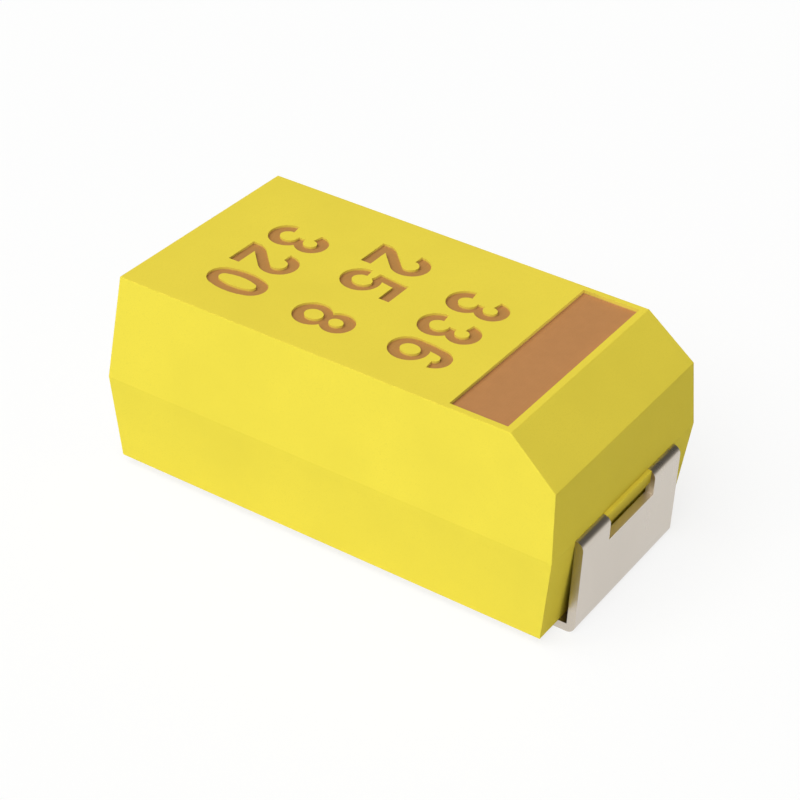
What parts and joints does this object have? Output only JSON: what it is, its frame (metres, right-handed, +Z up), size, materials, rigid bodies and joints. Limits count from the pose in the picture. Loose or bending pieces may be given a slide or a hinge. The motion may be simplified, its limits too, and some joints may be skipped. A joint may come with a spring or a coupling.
{
  "type": "tantalum capacitor",
  "caption": "Moulded surface-mount tantalum capacitor with a bevelled, striped anode end and flat terminals folded under the case.",
  "frame": {"origin": "centre of the footprint on the seating plane, midway between the terminals", "axes": "+X towards the anode end with the bevel, stripe and notched terminal, +Y across the case, +Z up from the board"},
  "size_m": [0.006, 0.0032, 0.0025],
  "materials": {
    "yellow_epoxy": "smooth moulded epoxy, satin, with marks cut through to a copper-brown layer",
    "tin_plate": "matt tin plating on rolled nickel-iron strip",
    "sintered_tantalum": "porous, fine-grained sintered powder",
    "tantalum_wire": "drawn wire",
    "white_ptfe": "waxy, smooth",
    "manganese_dioxide": "rough, crystalline, black",
    "carbon": "matt graphite",
    "silver_paint": "dull silver-filled paint",
    "silver_epoxy": "cured silver-filled adhesive"
  },
  "bodies": {
    "root": {"moulded_case": "yellow_epoxy", "anode_terminal": "tin_plate", "cathode_terminal": "tin_plate", "anode_pellet": "sintered_tantalum", "anode_wire": "tantalum_wire", "wire_washer": "white_ptfe", "manganese_dioxide_coat": "manganese_dioxide", "carbon_coat": "carbon", "silver_coat": "silver_paint", "silver_adhesive": "silver_epoxy"}
  },
  "joints": []
}
